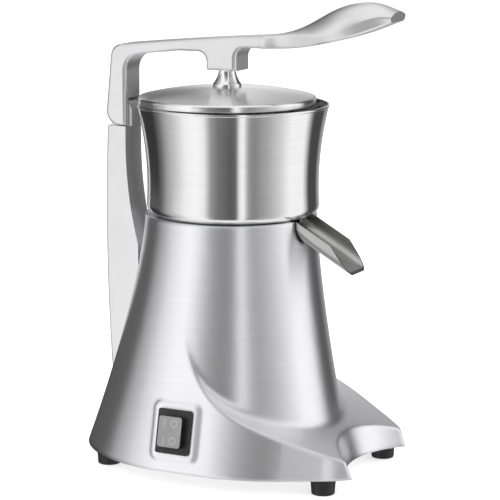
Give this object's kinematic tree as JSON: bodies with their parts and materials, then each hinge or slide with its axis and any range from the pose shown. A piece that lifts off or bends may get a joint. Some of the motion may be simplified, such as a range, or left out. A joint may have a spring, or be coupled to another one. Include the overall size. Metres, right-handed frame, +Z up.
{
  "type": "lever citrus juicer",
  "caption": "Electric citrus juicer with a flared metal body, steel bowl and spout, and a hand lever whose hinged lid and cup press fruit on a turning reamer.",
  "frame": {"origin": "on the standing surface, under the axis of the bowl and reamer", "axes": "+Z up along the reamer axis, -Y to the front where the spout is, so the switch is on the -X side"},
  "size_m": [0.2132, 0.2752, 0.3913],
  "materials": {
    "body_aluminium": "satin brushed casting",
    "grey_aluminium": "matt light grey casting",
    "bowl_steel": "polished and finely brushed",
    "spout_steel": "dull sheet",
    "knob_chrome": "polished",
    "cup_aluminium": "as cast",
    "black_rubber": "matt",
    "boot_rubber": "clear grey, dulled",
    "black_plastic": "fine grain",
    "pale_plastic": "smooth",
    "reamer_plastic": "smooth",
    "zinc_steel": "zinc plated",
    "bearing_steel": "ground",
    "bush_brass": "turned",
    "motor_casting": "as cast",
    "laminations": "stacked sheet",
    "winding_copper": "varnished wire"
  },
  "bodies": {
    "base": {"body_casting": "body_aluminium", "rear_column": "grey_aluminium", "column_screws": "zinc_steel", "pivot_bush": "bush_brass", "base_plate": "zinc_steel", "foot_screws": "zinc_steel", "juice_bowl": "bowl_steel", "spout": "spout_steel", "spout_seal": "black_rubber", "strainer_basket": "spout_steel", "shaft_seal": "black_rubber", "upper_shield": "motor_casting", "lower_shield": "motor_casting", "stator_core": "laminations", "upper_winding": "winding_copper", "lower_winding": "winding_copper", "upper_bearing": "bearing_steel", "lower_bearing": "bearing_steel", "tie_bolts": "zinc_steel", "mount_screws": "zinc_steel", "run_capacitor": "pale_plastic", "capacitor_holder": "black_plastic", "terminal_block": "pale_plastic", "cable_gland": "black_plastic", "gland_nut": "black_plastic", "switch_housing": "black_plastic", "switch_boot": "boot_rubber", "switch_blades": "bush_brass", "foot_front_left": "black_rubber", "foot_front_right": "black_rubber", "foot_rear_left": "black_rubber", "foot_rear_right": "black_rubber"},
    "press_lever": {"lever": "grey_aluminium", "lever_pin": "bearing_steel", "lid_pin": "bearing_steel"},
    "press_head": {"lid_knob": "knob_chrome", "press_lid": "bowl_steel", "press_cup": "cup_aluminium", "lid_bolt": "zinc_steel"},
    "drive": {"drive_shaft": "bearing_steel", "rotor": "laminations", "cooling_fan": "black_plastic", "reamer": "reamer_plastic"},
    "switch_rocker": {"rocker": "black_plastic"}
  },
  "joints": [
    {"name": "lever_pivot", "type": "hinge", "parent": "base", "child": "press_lever", "pos_m": [0, 0.1024, 0.2927], "axis": [-1, 0, 0], "range_deg": [0, 75]},
    {"name": "lid_pivot", "type": "hinge", "parent": "press_lever", "child": "press_head", "pos_m": [0, 0.0054, 0.341], "axis": [1, 0, 0], "range_deg": [0, 2.5]},
    {"name": "reamer_spin", "type": "hinge", "parent": "base", "child": "drive", "pos_m": [0, 0, 0.2], "axis": [0, 0, 1], "continuous": true},
    {"name": "switch_rock", "type": "hinge", "parent": "base", "child": "switch_rocker", "pos_m": [-0.09809, 0.0032, 0.04598], "axis": [0, 1, 0], "range_deg": [0, 18]}
  ]
}
